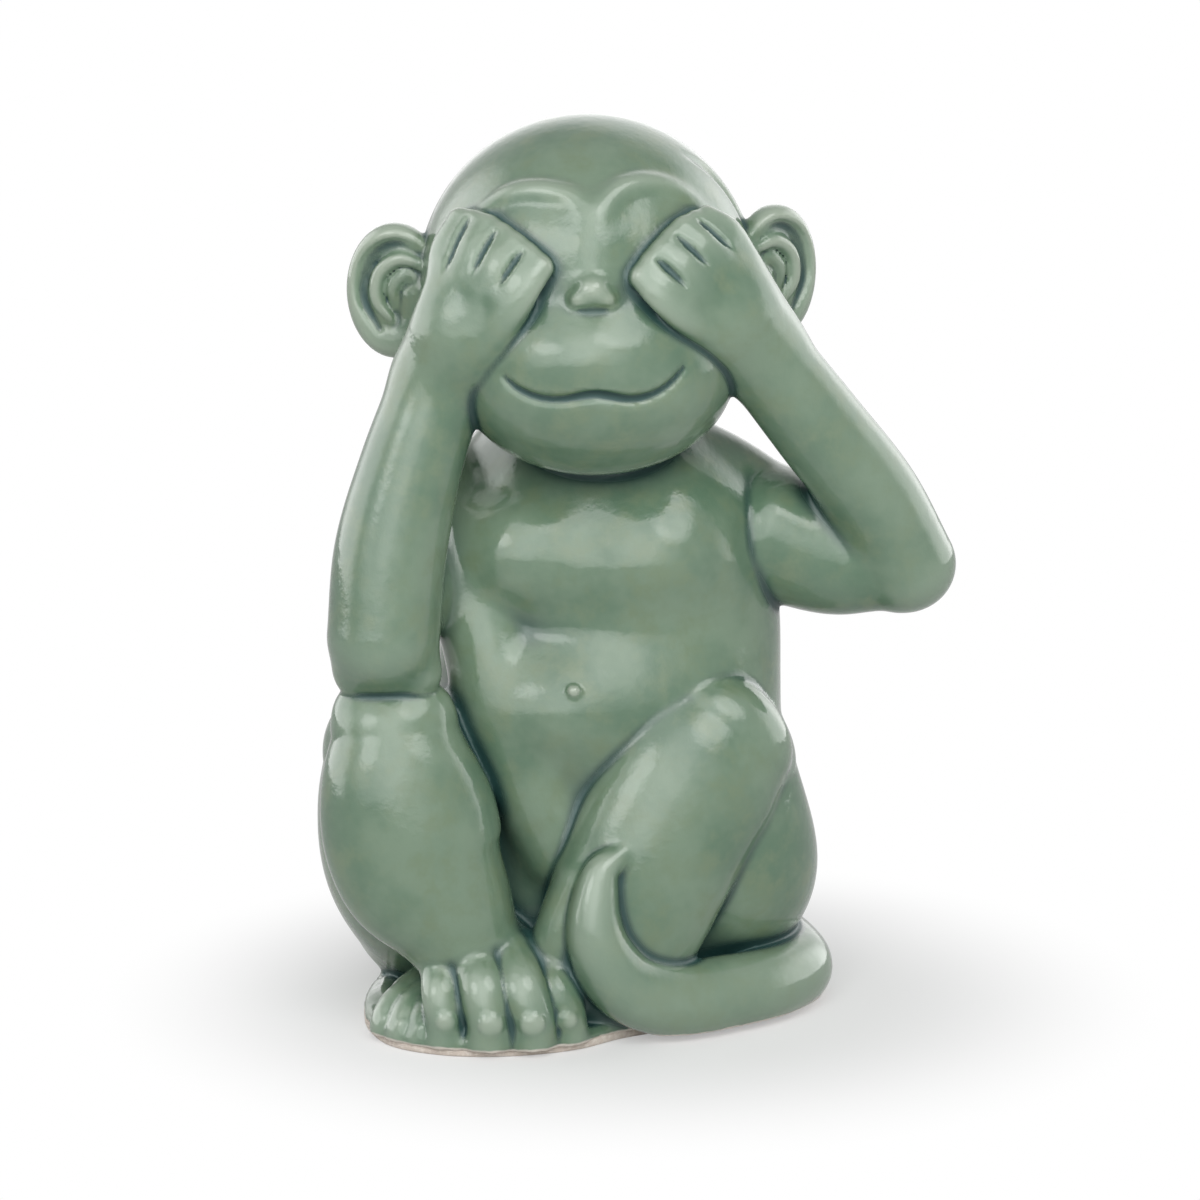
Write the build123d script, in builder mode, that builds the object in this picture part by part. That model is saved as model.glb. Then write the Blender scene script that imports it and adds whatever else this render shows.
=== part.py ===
"""A seated monkey figurine in glazed stoneware, with both hands laid over its eyes.

It is built up as a caster builds it: hollow castings for the torso and the head, with ears, arms,
hands, legs, feet and tail stuck on with slip along the creases, and a closed underside with a
vent hole, standing on a bare foot ring. Millimetres, +Z up, the face looks along -Y. Right and
left are the monkey's own.
"""

import math
import os

from build123d import *

# Driving sizes of the whole figure
figure_width = 134.0
figure_depth = 92.0
figure_height = 188.0

# Head casting
head_radius = 35.0
head_wall = 4.6
jaw_half_width = 28.5
jaw_radius = 21.3
mouth_half_width = 18.5
mouth_groove_radius = 1.2
brow_radius = 4.4
socket_radius = 15.0
socket_depth = 2.2
nose_half_width = 5.6
nose_radius = 3.4
nostril_radius = 2.2
bridge_radius = 6.0

# Ears
ear_height = 27.0
ear_reach = 16.0
ear_root = 9.0
ear_thickness = 7.0
ear_edge_radius = 2.8
helix_groove_radius = 1.5
concha_groove_radius = 1.2

# Torso casting
torso_half_width = 37.0
torso_half_depth = 31.5
torso_wall = 5.0
navel_radius = 2.0
neck_hole_radius = 9.0

# Arms and hands
shoulder_radius = 14.0
upper_arm_root_radius = 12.6
upper_arm_radius = 11.5
right_upper_arm_end_radius = 9.2
left_upper_arm_end_radius = 8.3
elbow_radius = 11.5
forearm_radius = 11.5
wrist_radius = 9.6
wrist_lift = 6.0
palm_half_width = 11.2
palm_half_thickness = 5.6
palm_lift = 4.0
knuckle_lift = 4.4
finger_lift = 2.8
fingertip_lift = 1.0
finger_radius = 3.2

# Legs and feet
hip_radius = 22.0
thigh_radius = 21.0
knee_radius = 15.5
shin_half_width = 18.2
shin_half_depth = 13.0
instep_radius = 11.0
toe_radius = 4.6
rear_instep_radius = 8.0
rear_toe_radius = 3.0

# Tail
tail_root_radius = 10.0
tail_radius = 7.6
tail_tip_radius = 2.5

# Underside
plate_thickness = 4.0
plate_inset = 6.0
ring_height = 1.6
ring_width = 7.0
vent_radius = 4.0

limb_step_share = 0.9
cap_angles = (28, 56, 84)
plate_top = ring_height + plate_thickness
up = Vector(0, 0, 1)
sideways = Vector(1, 0, 0)


def place(share):
    """A point of the figure from its shares of half the width, half the depth and the height."""
    x, y, z = share
    return Vector(x * figure_width / 2, y * figure_depth / 2, z * figure_height)


def sized(shares, size):
    """A row of sizes, each a share of one size."""
    return [share * size for share in shares]


def limb(points, half_widths, half_depths=None, wide=sideways, round_ends=(True, True)):
    """A limb lofted through ellipses square to a smooth line, with rounded or square ends.

    The sizes belong to the points and change smoothly from one to the next. wide is the way in
    which the ellipses have their half_widths at the start, and it turns along with the line;
    without half_depths they are circles.
    """
    half_depths = half_depths or half_widths
    spine = Spline(*points) if len(points) > 2 else Line(*points)
    marks = [0]
    for start, end in zip(points, points[1:]):
        marks.append(marks[-1] + (end - start).length)
    shares = [0]
    while shares[-1] < 1:
        step = limb_step_share * eased(marks, half_widths, shares[-1])
        shares.append(shares[-1] + step / marks[-1])
    sections = []
    for share in shares:
        share /= shares[-1]
        sections.append((spine @ share, spine % share, eased(marks, half_widths, share),
                         eased(marks, half_depths, share)))
    if round_ends[0]:
        sections = round_end(sections[0], -1)[::-1] + sections
    if round_ends[1]:
        sections = sections + round_end(sections[-1], 1)
    outlines = []
    for middle, along, half_width, half_depth in sections:
        wide = (wide - along * wide.dot(along)).normalized()
        with BuildSketch(Plane(middle, x_dir=wide, z_dir=along)) as outline:
            Ellipse(half_width, half_depth)
        outlines.append(outline.sketch)
    with BuildPart() as body:
        loft(sections=outlines)
    return body.part


def eased(marks, sizes, share):
    """The size at a share of the way along marks, on a smooth curve through the sizes there."""
    reach = share * marks[-1]
    leg = 0
    while leg < len(marks) - 2 and reach > marks[leg + 1]:
        leg += 1
    slopes = []
    for index in (leg, leg + 1):
        before, after = max(index - 1, 0), min(index + 1, len(marks) - 1)
        slopes.append((sizes[after] - sizes[before]) / (marks[after] - marks[before]))
    span = marks[leg + 1] - marks[leg]
    t = (reach - marks[leg]) / span
    return (
        sizes[leg] * (1 + 2 * t) * (1 - t) ** 2 + sizes[leg + 1] * t**2 * (3 - 2 * t)
        + span * (slopes[0] * t * (1 - t) ** 2 - slopes[1] * t**2 * (1 - t))
    )


def round_end(section, way):
    """The sections of a ball's cap beyond one end of a limb, nearly closed at its tip."""
    middle, along, half_width, half_depth = section
    cap = []
    for angle in cap_angles:
        girth = math.cos(math.radians(angle))
        rise = way * half_depth * math.sin(math.radians(angle))
        cap.append((middle + along * rise, along, half_width * girth, half_depth * girth))
    return cap


def seated(part, *carriers):
    """The largest solid that is left of a piece when the pieces that carry it are taken out."""
    for carrier in carriers:
        part = part - carrier
    above_ring = split(part, bisect_by=Plane.XY.offset(ring_height), keep=Keep.TOP)
    return Part() + above_ring.solids().sort_by(SortBy.VOLUME)[-1]


# Underside: the bare foot ring on the ground, and the plate with its vent hole above it
outline_shares = [
    (-0.806, -0.478), (-0.746, -0.717), (-0.627, -0.837), (-0.418, -0.88), (-0.224, -0.804),
    (-0.09, -0.663), (0.119, -0.522), (0.328, -0.38), (0.507, -0.239), (0.575, -0.065),
    (0.56, 0.174), (0.478, 0.478), (0.299, 0.761), (0.03, 0.891), (-0.299, 0.87),
    (-0.597, 0.609), (-0.746, 0.217), (-0.806, -0.13),
]
vent_point = place((-0.104, 0.087, 0))


def ground_outline(inset):
    """The figure's outline on the ground, as points of a closed curve moved inwards by an inset."""
    corners = [place((x, y, 0)) for x, y in outline_shares]
    inner = []
    for index, corner in enumerate(corners):
        along = (corners[(index + 1) % len(corners)] - corners[index - 1]).normalized()
        inner.append(corner + up.cross(along) * inset)
    return [(point.X, point.Y) for point in inner]


with BuildPart() as foot_ring:
    with BuildSketch():
        for inset, mode in ((0, Mode.ADD), (ring_width, Mode.SUBTRACT)):
            with BuildLine():
                Spline(*ground_outline(inset), periodic=True)
            make_face(mode=mode)
    extrude(amount=ring_height)

with BuildPart() as base_plate:
    with BuildSketch(Plane.XY.offset(ring_height)):
        with BuildLine():
            Spline(*ground_outline(plate_inset), periodic=True)
        make_face()
        with Locations((vent_point.X, vent_point.Y)):
            Circle(vent_radius, mode=Mode.SUBTRACT)
    extrude(amount=plate_thickness)

# Head: a round skull and a broad jaw, with sockets, brow, nose and smile worked into them
head_centre = place((-0.134, 0, 0.814))
jaw_centre = place((-0.134, -0.437, 0.734))
jaw_shares = (-0.995, -0.96, -0.86, -0.68, -0.36, 0, 0.36, 0.68, 0.86, 0.96, 0.995)


def on_head(turn, rise, lift=0):
    """A point over the skull: turned from the face, risen from its middle, and lifted off it."""
    turn = math.radians(turn)
    rise = math.radians(rise)
    aim = Vector(math.cos(rise) * math.sin(turn), -math.cos(rise) * math.cos(turn), math.sin(rise))
    return head_centre + aim * (head_radius + lift)


def on_jaw(across_share, up_share):
    """A point on the front of the jaw, at shares of its half width and of its radius."""
    forward_share = math.sqrt(1 - across_share**2 - up_share**2)
    return jaw_centre + Vector(
        across_share * jaw_half_width, -forward_share * jaw_radius, up_share * jaw_radius
    )


def jaw_form(wall):
    """The jaw, round about the line from cheek to cheek, made smaller all round by a wall."""
    middles = []
    radii = []
    for share in jaw_shares:
        middles.append(jaw_centre + sideways * (share * (jaw_half_width - wall)))
        radii.append(math.sqrt(1 - share**2) * (jaw_radius - wall))
    with BuildPart() as body:
        for middle, radius in zip(middles, radii):
            with BuildSketch(Plane(middle, x_dir=up, z_dir=sideways)):
                Circle(radius)
        loft()
    return body.part


socket_angles = [(-38, 12), (34, 12)]
brow_angles = [(-50, 24), (-30, 37), (-4, 31), (20, 37), (46, 25)]
brow_width_shares = [0.74, 0.94, 1.00, 0.94, 0.74]
brow_sink_share = 0.62
brow_points = [on_head(*angles, -brow_sink_share * brow_radius) for angles in brow_angles]
bridge_angles = [(-2, 27), (-2, 14), (-2, 4)]
bridge_sink_shares = [0.8, 0.6, 0.2]
bridge_points = []
for angles, sink_share in zip(bridge_angles, bridge_sink_shares):
    bridge_points.append(on_head(*angles, -sink_share * bridge_radius))
bridge_radii = [bridge_radius, (bridge_radius + nose_radius) / 2, nose_radius]
nose_angles = (-2, 3)
nose_lift_share = 0.8
nose_point = on_head(*nose_angles, nose_lift_share * nose_radius)
nose_tips = [nose_point + sideways * (side * (nose_half_width - nostril_radius))
             for side in (-1, 0, 1)]
smile_shares = [(-1.0, 0.10), (-0.80, -0.08), (-0.42, -0.18), (0, -0.11), (0.42, -0.18),
                (0.80, -0.08), (1.0, 0.10)]
smile_depth_shares = [0.7, 1, 1, 1, 1, 1, 0.7]
smile_width_share = mouth_half_width / jaw_half_width
smile_points = [on_jaw(across * smile_width_share, rise) for across, rise in smile_shares]

with BuildPart() as head_block:
    with Locations(head_centre):
        Sphere(head_radius)
    add(jaw_form(0))

with BuildPart() as head_form:
    add(head_block.part)
    with Locations(*[on_head(*angles, socket_radius - socket_depth) for angles in socket_angles]):
        Sphere(socket_radius, mode=Mode.SUBTRACT)
    add(limb(brow_points, sized(brow_width_shares, brow_radius), wide=up))
    add(limb(bridge_points, bridge_radii))
    add(limb(nose_tips, [nostril_radius, nose_radius, nostril_radius], wide=up))
    add(limb(smile_points, sized(smile_depth_shares, mouth_groove_radius), wide=up,
             round_ends=(False, False)), mode=Mode.SUBTRACT)

with BuildPart() as head:
    add(head_form.part)
    with Locations(head_centre):
        Sphere(head_radius - head_wall - socket_depth, mode=Mode.SUBTRACT)
    add(jaw_form(head_wall), mode=Mode.SUBTRACT)
    with Locations(head_centre):
        Cylinder(neck_hole_radius, head_radius, align=(Align.CENTER, Align.CENTER, Align.MAX),
                 mode=Mode.SUBTRACT)

# Ears: round dishes with a rolled rim, a curved ridge and a small bump, rooted in the skull
ear_outline_shares = [
    (-0.55, 0.30), (-0.20, 0.46), (0.25, 0.50), (0.66, 0.38), (0.95, 0.08), (0.88, -0.22),
    (0.58, -0.44), (0.10, -0.56), (-0.35, -0.52), (-0.58, -0.20),
]
helix_shares = [(-0.10, 0.27), (0.28, 0.32), (0.60, 0.18), (0.64, -0.08), (0.42, -0.30)]
concha_shares = [(-0.16, 0.08), (0.12, 0.16), (0.34, 0.04), (0.32, -0.14)]


def ear(side, turn, rise, swing):
    """An ear on one side of the head, swung back by an angle from facing straight forwards."""
    root = on_head(side * turn, rise)
    across = sideways.rotate(Axis.Z, side * swing)
    forward = Vector(0, -1, 0).rotate(Axis.Z, side * swing)
    face = Plane(root + forward * (ear_thickness / 2), x_dir=across, z_dir=forward)

    def ear_point(share):
        reach = share[0] * (ear_reach if share[0] > 0 else ear_root)
        return side * reach, share[1] * ear_height

    with BuildPart() as body:
        with BuildSketch(face):
            with BuildLine():
                Spline(*[ear_point(share) for share in ear_outline_shares], periodic=True)
            make_face()
        extrude(amount=-ear_thickness)
        rims = body.faces().sort_by(Axis(root, forward))
        fillet(rims[0].edges() + rims[-1].edges(), radius=ear_edge_radius)
        for shares, radius in (
            (helix_shares, helix_groove_radius),
            (concha_shares, concha_groove_radius),
        ):
            groove = [face.from_local_coords(Vector(*ear_point(share), 0)) for share in shares]
            add(limb(groove, [radius] * len(groove), wide=forward, round_ends=(False, False)),
                mode=Mode.SUBTRACT)
    return body.part


with BuildPart() as right_ear:
    add(seated(ear(-1, 86, -1, 22), head_block.part))

with BuildPart() as left_ear:
    add(seated(ear(1, 82, 4, 36), head_block.part))

# Torso: a hollow casting from the base plate up into the neck, turned to the monkey's right, with
# a round belly that a shallow fold parts from the chest
torso_turn = -20
torso_sections = [
    # level share, middle's shares across and back, then shares of half width and half depth
    (0, -0.119, 0.139, 0.92, 0.89),
    (0.08, -0.11, 0.146, 0.97, 0.955),
    (0.2, -0.081, 0.135, 1, 1),
    (0.3, -0.067, 0.113, 1, 1.019),
    (0.37, -0.062, 0.089, 0.986, 1.018),
    (0.45, -0.051, 0.105, 0.96, 0.921),
    (0.525, -0.063, 0.061, 0.922, 0.878),
    (0.595, -0.09, 0.08, 0.86, 0.73),
    (0.64, -0.119, 0.087, 0.66, 0.59),
    (0.68, -0.14, 0.093, 0.46, 0.5),
]
navel_shares = (0.394, -0.058, 0.094, 0.975)


def torso_form(wall):
    """The torso's form between its levels, made smaller all round by a wall."""
    across = sideways.rotate(Axis.Z, torso_turn)
    with BuildPart() as body:
        for level_share, x_share, y_share, width_share, depth_share in torso_sections:
            middle = place((x_share, y_share, level_share))
            middle.Z = max(middle.Z, plate_top)
            with BuildSketch(Plane(middle, x_dir=across, z_dir=up)):
                Ellipse(width_share * torso_half_width - wall, depth_share * torso_half_depth - wall)
        loft()
    return body.part


with BuildPart() as torso_block:
    add(torso_form(0))

with BuildPart() as torso:
    add(seated(torso_block.part, head_block.part))
    add(torso_form(torso_wall), mode=Mode.SUBTRACT)
    level_share, x_share, y_share, depth_share = navel_shares
    front = Vector(0, -1, 0).rotate(Axis.Z, torso_turn)
    navel_reach = depth_share * torso_half_depth + navel_radius / 3
    with Locations(place((x_share, y_share, level_share)) + front * navel_reach):
        Sphere(navel_radius, mode=Mode.SUBTRACT)

# Legs: broad folded shins in front, thighs and haunches behind them
right_shin_shares = [
    (-0.755, -0.522, 0.343), (-0.745, -0.554, 0.303), (-0.719, -0.587, 0.253),
    (-0.681, -0.62, 0.197), (-0.61, -0.62, 0.142), (-0.53, -0.587, 0.088),
]
right_shin_widths = [0.72, 0.88, 1.00, 0.98, 0.84, 0.62]
right_shin_depths = [0.86, 0.98, 1.00, 0.94, 0.84, 0.72]
left_shin_shares = [
    (0.266, -0.435, 0.33), (0.194, -0.478, 0.298), (0.101, -0.522, 0.247),
    (0.015, -0.565, 0.186), (-0.069, -0.587, 0.118), (-0.152, -0.565, 0.059),
]
left_shin_widths = [0.86, 0.98, 1.00, 0.98, 0.92, 0.78]
left_shin_depths = [0.86, 0.98, 1.02, 0.98, 0.88, 0.76]
left_shin_across = Vector(0.83, 0, -0.55)


def shin(shares, width_shares, depth_shares, across):
    """A folded lower leg, broad from side to side and rounded over the knee."""
    return limb([place(share) for share in shares], sized(width_shares, shin_half_width),
                sized(depth_shares, shin_half_depth), across)


with BuildPart() as right_shin:
    add(seated(shin(right_shin_shares, right_shin_widths, right_shin_depths, sideways),
               torso_block.part, base_plate.part))

with BuildPart() as left_shin:
    add(seated(shin(left_shin_shares, left_shin_widths, left_shin_depths, left_shin_across),
               torso_block.part, base_plate.part, right_shin.part))

right_thigh_shares = [(-0.56, 0.23, 0.117), (-0.672, 0, 0.215), (-0.74, -0.283, 0.306)]
left_thigh_shares = [(0.219, 0.228, 0.117), (0.275, -0.109, 0.165), (0.27, -0.272, 0.285)]
thigh_radii = [hip_radius, thigh_radius, knee_radius]

with BuildPart() as right_thigh:
    add(seated(limb([place(share) for share in right_thigh_shares], thigh_radii),
               torso_block.part, base_plate.part, right_shin.part))

with BuildPart() as left_thigh:
    add(seated(limb([place(share) for share in left_thigh_shares], thigh_radii),
               torso_block.part, base_plate.part, left_shin.part))

# Tail: from the back, round the monkey's left haunch and up in a curl before the left shin
tail_shares = [
    (-0.299, 0.587, 0.074), (-0.019, 0.791, 0.056), (0.26, 0.696, 0.048),
    (0.44, 0.413, 0.044), (0.51, 0.109, 0.041), (0.513, -0.196, 0.04),
    (0.418, -0.413, 0.04), (0.269, -0.565, 0.04), (0.081, -0.707, 0.046),
    (-0.078, -0.8, 0.074), (-0.148, -0.852, 0.125), (-0.148, -0.861, 0.181),
    (-0.103, -0.826, 0.224),
]
tail_root_radius_shares = [1, 0.95]
tail_radius_shares = [1.15, 1, 1, 1, 1, 1.04, 1.06, 0.96, 0.80, 0.58]
tail_radii = sized(tail_root_radius_shares, tail_root_radius)
tail_radii += sized(tail_radius_shares, tail_radius)
tail_radii += [tail_tip_radius]
backwards = Vector(0, 1, 0)

with BuildPart() as tail:
    add(seated(limb([place(share) for share in tail_shares], tail_radii, wide=backwards,
                    round_ends=(False, True)),
               torso_block.part, base_plate.part, left_thigh.part, left_shin.part))

# Feet: an instep and a row of toes that bend down to the ground
right_toe_shares = [
    # top, bend and tip of each toe, then its radius as a share of the toe radius
    ((-0.619, -0.663, 0.09), (-0.63, -0.815, 0.066), (-0.615, -0.837, 0.033), 0.82),
    ((-0.525, -0.685, 0.098), (-0.5, -0.87, 0.07), (-0.482, -0.891, 0.033), 1),
    ((-0.415, -0.685, 0.098), (-0.381, -0.876, 0.069), (-0.355, -0.891, 0.033), 1),
    ((-0.313, -0.663, 0.09), (-0.275, -0.826, 0.064), (-0.245, -0.83, 0.032), 0.82),
]
left_toe_shares = [
    # top, bend and tip of each toe, then its radius as a share of the toe radius
    ((-0.716, -0.522, 0.065), (-0.781, -0.609, 0.046), (-0.796, -0.63, 0.024), 1),
    ((-0.679, -0.587, 0.063), (-0.734, -0.685, 0.046), (-0.746, -0.717, 0.024), 1),
    ((-0.655, -0.652, 0.056), (-0.687, -0.75, 0.04), (-0.688, -0.783, 0.024), 0.9),
]
right_instep_shares = [(-0.5, -0.304, 0.08), (-0.455, -0.587, 0.072)]
left_instep_shares = [(-0.56, -0.217, 0.056), (-0.687, -0.5, 0.048)]


def foot(instep_shares, instep_width, toe_shares, radius):
    """An instep with its row of toes, each a bent limb."""
    with BuildPart() as body:
        add(limb([place(share) for share in instep_shares], [instep_width, instep_width]))
        for top, bend, tip, radius_share in toe_shares:
            add(limb([place(top), place(bend), place(tip)], sized([radius_share] * 3, radius)))
    return body.part


with BuildPart() as right_foot:
    add(seated(foot(right_instep_shares, instep_radius, right_toe_shares, toe_radius),
               base_plate.part, right_shin.part, left_shin.part, tail.part, torso_block.part,
               right_thigh.part))

with BuildPart() as left_foot:
    add(seated(foot(left_instep_shares, rear_instep_radius, left_toe_shares, rear_toe_radius),
               base_plate.part, right_shin.part, right_foot.part, torso_block.part,
               right_thigh.part, left_shin.part))

# Arms: the right elbow rests on the right knee, the left one stands out to the side
right_shoulder = place((-0.61, 0.091, 0.564))
right_elbow = place((-0.79, -0.565, 0.451))
left_shoulder = place((0.47, -0.07, 0.53))
left_elbow = place((0.851, -0.248, 0.505))
right_wrist = on_head(-58, -24, wrist_lift)
left_wrist = on_head(58, -16, wrist_lift)


def between(start, end, share, bow_share):
    """A point on the way from one point to another, pushed aside by a share of the figure."""
    return start + (end - start) * share + place(bow_share)


right_arm_carriers = [torso_block.part, head_block.part, right_shin.part, right_thigh.part]
left_arm_carriers = [torso_block.part, head_block.part]
left_forearm_radius_shares = [0.86, 0.86, 0.84, 0.80]

with BuildPart() as right_upper_arm:
    bend = between(right_shoulder, right_elbow, 0.5, (-0.02, 0.02, 0))
    end = between(right_shoulder, right_elbow, 0.90, (0.02, 0.02, 0))
    radii = [upper_arm_root_radius, upper_arm_radius, right_upper_arm_end_radius]
    add(seated(limb([right_shoulder, bend, end], radii), *right_arm_carriers))

with BuildPart() as right_forearm:
    lower = between(right_elbow, right_wrist, 0.33, (-0.035, 0, 0))
    upper = between(right_elbow, right_wrist, 0.66, (-0.030, 0, 0))
    radii = [elbow_radius, forearm_radius, (forearm_radius + wrist_radius) / 2, wrist_radius]
    add(seated(limb([right_elbow, lower, upper, right_wrist], radii),
               *right_arm_carriers, right_upper_arm.part))

with BuildPart() as left_upper_arm:
    bend = between(left_shoulder, left_elbow, 0.5, (0, 0, -0.012))
    end = between(left_shoulder, left_elbow, 0.85, (0, 0, -0.006))
    radii = [shoulder_radius, upper_arm_radius, left_upper_arm_end_radius]
    add(seated(limb([left_shoulder, bend, end], radii, wide=up), *left_arm_carriers))

with BuildPart() as left_forearm:
    lower = between(left_elbow, left_wrist, 0.30, (0.035, 0, 0))
    upper = between(left_elbow, left_wrist, 0.65, (0.020, 0, 0))
    radii = sized(left_forearm_radius_shares, forearm_radius)
    add(seated(limb([left_elbow, lower, upper, left_wrist], radii),
               *left_arm_carriers, left_upper_arm.part))

# Hands: a palm and four fingers over each eye, following the face
right_finger_angles = [
    # turn and rise of the knuckle, the middle joint and the tip, from the outer finger inwards
    ((-53, 3), (-54, 16), (-54, 26)),
    ((-44, 6), (-43, 17), (-42, 25)),
    ((-36, 5), (-33, 14), (-30, 20)),
    ((-28, 2), (-24, 9), (-21, 14)),
]
left_finger_angles = [
    ((49, 13), (46, 20), (41, 26)),
    ((39, 11), (34, 18), (30, 24)),
    ((30, 6), (25, 13), (21, 18)),
    ((23, 1), (18, 6), (14, 11)),
]
right_palm_angles = [(-46, -7), (-40, 5)]
left_palm_angles = [(44, -2), (35, 8)]
palm_width_shares = [0.86, 0.94, 1.0]
palm_depth_shares = [1.5, 1.1, 0.8]


def hand(wrist, palm_angle, knuckle_angle, finger_angles):
    """A palm lofted from the wrist to the knuckles, and its fingers laid along the skull."""
    first = on_head(*finger_angles[0][0])
    last = on_head(*finger_angles[-1][0])
    with BuildPart() as body:
        add(limb([wrist, on_head(*palm_angle, palm_lift), on_head(*knuckle_angle, palm_lift)],
                 sized(palm_width_shares, palm_half_width),
                 sized(palm_depth_shares, palm_half_thickness), last - first))
        for knuckle, middle, tip in finger_angles:
            points = [on_head(*knuckle, knuckle_lift), on_head(*middle, finger_lift),
                      on_head(*tip, fingertip_lift)]
            add(limb(points, [finger_radius] * 3))
    return body.part


with BuildPart() as right_hand:
    add(seated(hand(right_wrist, *right_palm_angles, right_finger_angles),
               head_form.part, right_forearm.part))

with BuildPart() as left_hand:
    add(seated(hand(left_wrist, *left_palm_angles, left_finger_angles),
               head_form.part, left_forearm.part))

# Hand the pieces over
pieces = {
    "foot_ring": foot_ring,
    "base_plate": base_plate,
    "torso": torso,
    "head": head,
    "right_ear": right_ear,
    "left_ear": left_ear,
    "right_upper_arm": right_upper_arm,
    "right_forearm": right_forearm,
    "right_hand": right_hand,
    "left_upper_arm": left_upper_arm,
    "left_forearm": left_forearm,
    "left_hand": left_hand,
    "right_thigh": right_thigh,
    "left_thigh": left_thigh,
    "right_shin": right_shin,
    "left_shin": left_shin,
    "right_foot": right_foot,
    "left_foot": left_foot,
    "tail": tail,
}
os.makedirs("parts", exist_ok=True)
for name, piece in pieces.items():
    piece.part.label = name
    export_step(piece.part, f"parts/{name}.step")
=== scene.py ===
"""A seated monkey figurine in sage green glazed stoneware, with both hands laid over its eyes.

The castings are worked out as distance fields on one grid, so that where two of them meet the
glaze runs over the crease in one skin. Each casting is then cut out of that skin as a piece of
its own. Lengths are in millimetres up to the meshes, which are in metres.
"""

import math

import bpy
import numpy as np
import openvdb
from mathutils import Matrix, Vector


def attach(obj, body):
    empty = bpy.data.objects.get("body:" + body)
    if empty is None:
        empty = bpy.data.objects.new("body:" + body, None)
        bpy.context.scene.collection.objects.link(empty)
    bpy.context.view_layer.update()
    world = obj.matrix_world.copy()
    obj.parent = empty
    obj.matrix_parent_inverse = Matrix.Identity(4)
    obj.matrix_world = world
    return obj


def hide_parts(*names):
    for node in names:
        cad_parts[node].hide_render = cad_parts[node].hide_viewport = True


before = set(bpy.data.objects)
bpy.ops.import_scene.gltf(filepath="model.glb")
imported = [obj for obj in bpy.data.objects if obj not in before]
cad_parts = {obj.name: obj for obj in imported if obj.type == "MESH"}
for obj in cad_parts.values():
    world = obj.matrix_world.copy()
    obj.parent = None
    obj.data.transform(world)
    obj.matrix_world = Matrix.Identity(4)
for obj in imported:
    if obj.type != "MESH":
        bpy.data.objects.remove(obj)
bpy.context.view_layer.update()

# Torso: a hollow slip casting in stoneware, broad at the seat and narrow at the neck, its chest
# turned to the monkey's right. It stands on the base plate and carries all the other castings,
# and the helpers that all of them are made with stand here, where they are first used.
STEP = 0.71
REACH = 9.0
GRID_LOW = np.array([-71.0, -51.0, -4.0])
GRID_HIGH = np.array([71.0, 51.0, 193.0])
GRID_SHAPE = np.ceil((GRID_HIGH - GRID_LOW) / STEP).astype(int) + 1
TINY = 1e-6
LEAST = 1e-9


def slices_in(start, stop, origin):
    """The slices from start to stop in an array whose first point is the origin."""
    return tuple(slice(low - base, high - base) for low, high, base in zip(start, stop, origin))


class Form:
    """Distances to a shape's surface, negative inside, in a window of the grid that holds it."""

    def __init__(self, start, values):
        self.start = np.asarray(start)
        self.values = np.minimum(values, REACH).astype(np.float32)

    @property
    def stop(self):
        """The grid corner past the window's end: its start and its size added."""
        return self.start + self.values.shape

    @property
    def place(self):
        """The window as slices of an array that covers the whole grid."""
        return slices_in(self.start, self.stop, (0, 0, 0))


def window(low, high):
    """The grid window that holds a box, and its x, y and z lines.

    The box is widened by REACH, rounded outwards to whole steps and kept inside the grid.
    """
    start = np.floor((np.asarray(low) - REACH - GRID_LOW) / STEP).astype(int)
    stop = np.ceil((np.asarray(high) + REACH - GRID_LOW) / STEP).astype(int) + 1
    start = np.clip(start, 0, GRID_SHAPE - 1)
    stop = np.clip(stop, start + 1, GRID_SHAPE)
    lines = [GRID_LOW[axis] + STEP * np.arange(start[axis], stop[axis]) for axis in range(3)]
    return start, np.meshgrid(*lines, indexing="ij", sparse=True)


def smooth_min(one, other, blend):
    """The smaller of two distances, less a sixth of the blend times a closeness cubed.

    The closeness is 1 where both are equal, and 0 where they differ by the blend or more.
    """
    closeness = np.maximum(blend - np.abs(one - other), 0) / blend
    return np.minimum(one, other) - closeness * closeness * closeness * (blend / 6)


def joined(one, other, blend):
    """Two forms in one: the smooth minimum of their distances, with a fillet as wide as the blend."""
    start = np.minimum(one.start, other.start)
    stop = np.maximum(one.stop, other.stop)
    spread = []
    for form in (one, other):
        values = np.full(stop - start, REACH, np.float32)
        values[slices_in(form.start, form.stop, start)] = form.values
        spread.append(values)
    return Form(start, smooth_min(spread[0], spread[1], blend))


def carved(form, tool, blend):
    """A form without a tool's form: minus the smooth minimum of its inside and the tool."""
    low = np.maximum(form.start, tool.start)
    high = np.minimum(form.stop, tool.stop)
    shared = slices_in(low, high, form.start)
    cutter = tool.values[slices_in(low, high, tool.start)]
    values = form.values.copy()
    values[shared] = -smooth_min(-values[shared], cutter, blend)
    return Form(form.start, values)


def radial_distance(offsets, radii):
    """The distance to an ellipse or ellipsoid: level times level less one, over the slope.

    The level is the length of the offsets, each divided by its radius, and the slope is the same
    length with each offset divided by its radius squared.
    """
    level = np.sqrt(sum((offset / radius) ** 2 for offset, radius in zip(offsets, radii))) + TINY
    slope = np.sqrt(sum((offset / radius**2) ** 2 for offset, radius in zip(offsets, radii))) + TINY
    return level * (level - 1) / slope


def ellipsoid(centre, radii):
    """The form of an ellipsoid: the radial distance of each grid point from its centre."""
    centre = np.asarray(centre, float)
    radii = np.asarray(radii, float)
    start, lines = window(centre - radii, centre + radii)
    return Form(start, radial_distance([line - middle for line, middle in zip(lines, centre)], radii))


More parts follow.
